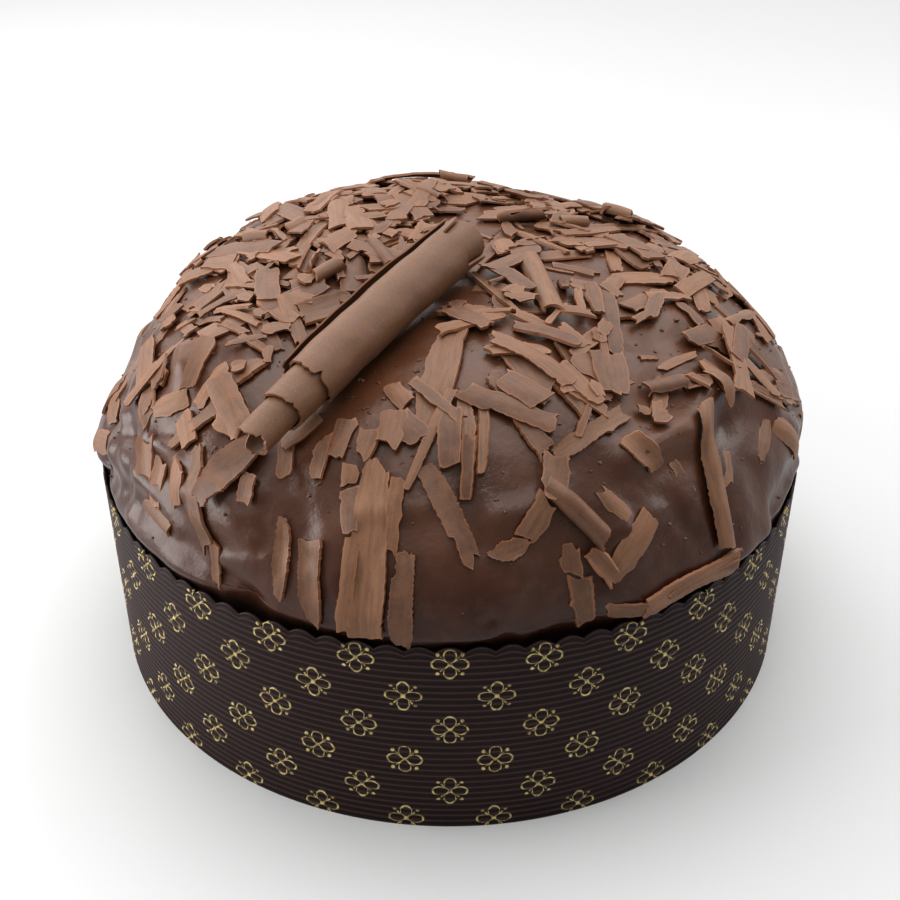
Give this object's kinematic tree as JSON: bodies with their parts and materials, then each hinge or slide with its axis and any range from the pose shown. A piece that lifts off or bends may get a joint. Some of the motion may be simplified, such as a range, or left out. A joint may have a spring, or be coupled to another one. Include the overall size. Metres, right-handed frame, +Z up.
{
  "type": "panettone",
  "caption": "Low domed panettone in a ribbed dark paper case, coated with dark chocolate and strewn with chocolate shavings and a large chocolate curl.",
  "frame": {"origin": "middle of the flat underside of the paper case", "axes": "+Z up through the middle of the dome; -Y is the front, the side towards which the large curl points; +X is to the right seen from the front"},
  "size_m": [0.217, 0.2181, 0.1381],
  "materials": {
    "case_paper": "matte",
    "chocolate_coating": "satin",
    "chocolate_shaving": "matte",
    "chocolate_roll": "satin"
  },
  "bodies": {
    "root": {"paper_case": "case_paper", "panettone": "chocolate_coating", "chocolate_curl": "chocolate_roll", "shaving_01": "chocolate_shaving", "shaving_02": "chocolate_shaving", "shaving_03": "chocolate_shaving", "shaving_04": "chocolate_shaving", "shaving_05": "chocolate_shaving", "shaving_06": "chocolate_shaving", "shaving_07": "chocolate_shaving", "shaving_08": "chocolate_shaving", "shaving_09": "chocolate_shaving", "shaving_10": "chocolate_shaving", "shaving_11": "chocolate_shaving", "shaving_12": "chocolate_shaving", "shaving_13": "chocolate_shaving", "shaving_14": "chocolate_shaving", "shaving_15": "chocolate_shaving", "shaving_16": "chocolate_shaving", "shaving_17": "chocolate_shaving", "shaving_18": "chocolate_shaving", "shaving_19": "chocolate_shaving", "shaving_20": "chocolate_shaving", "shaving_21": "chocolate_shaving", "shaving_22": "chocolate_shaving", "shaving_23": "chocolate_shaving", "shaving_24": "chocolate_shaving", "shaving_25": "chocolate_shaving", "shaving_26": "chocolate_shaving", "shaving_27": "chocolate_shaving", "shaving_28": "chocolate_shaving", "shaving_29": "chocolate_shaving", "shaving_30": "chocolate_shaving"}
  },
  "joints": []
}
